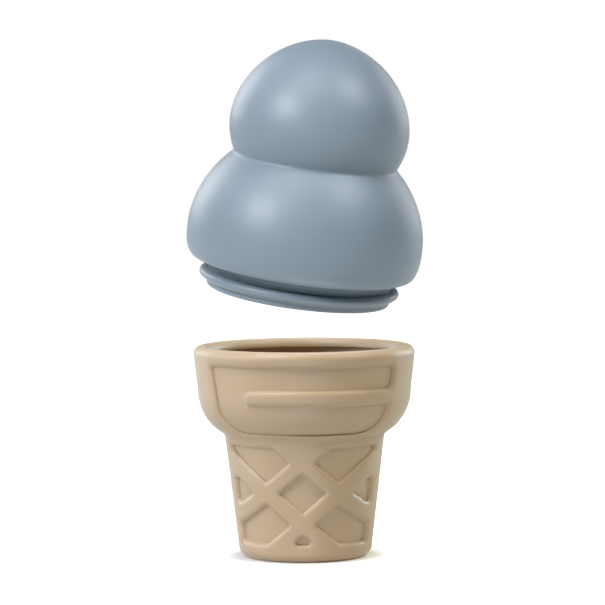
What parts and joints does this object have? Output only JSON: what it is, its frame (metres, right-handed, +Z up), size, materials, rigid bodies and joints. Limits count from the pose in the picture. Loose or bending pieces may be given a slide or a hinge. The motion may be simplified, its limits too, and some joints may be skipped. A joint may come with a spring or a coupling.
{
  "type": "sand mould",
  "caption": "Soft ice-cream sand mould: a cone cup with waffle relief, and a hollow scoop top that lifts off and snaps under the cup's rim by its flexible lip.",
  "frame": {"origin": "centre of the cone cup's flat base, on the surface that it stands on", "axes": "+Z up along the cup's axis; -Y towards the front face of the relief; +X to the right seen from the front"},
  "size_m": [0.0945, 0.0946, 0.2064],
  "materials": {
    "cone_silicone": "matte beige silicone",
    "scoop_silicone": "matte blue-grey silicone"
  },
  "bodies": {
    "cone": {"cone_cup": "cone_silicone"},
    "scoop": {"scoop_shell": "scoop_silicone", "snap_lip": "scoop_silicone"}
  },
  "joints": [
    {"name": "scoop_lift", "type": "hinge", "parent": "cone", "child": "scoop", "pos_m": [0.1296, -0.10532, 0.1075], "axis": [0.6307, 0.776, 0], "range_deg": [-10.5, 0], "deforming": ["snap_lip"]}
  ]
}
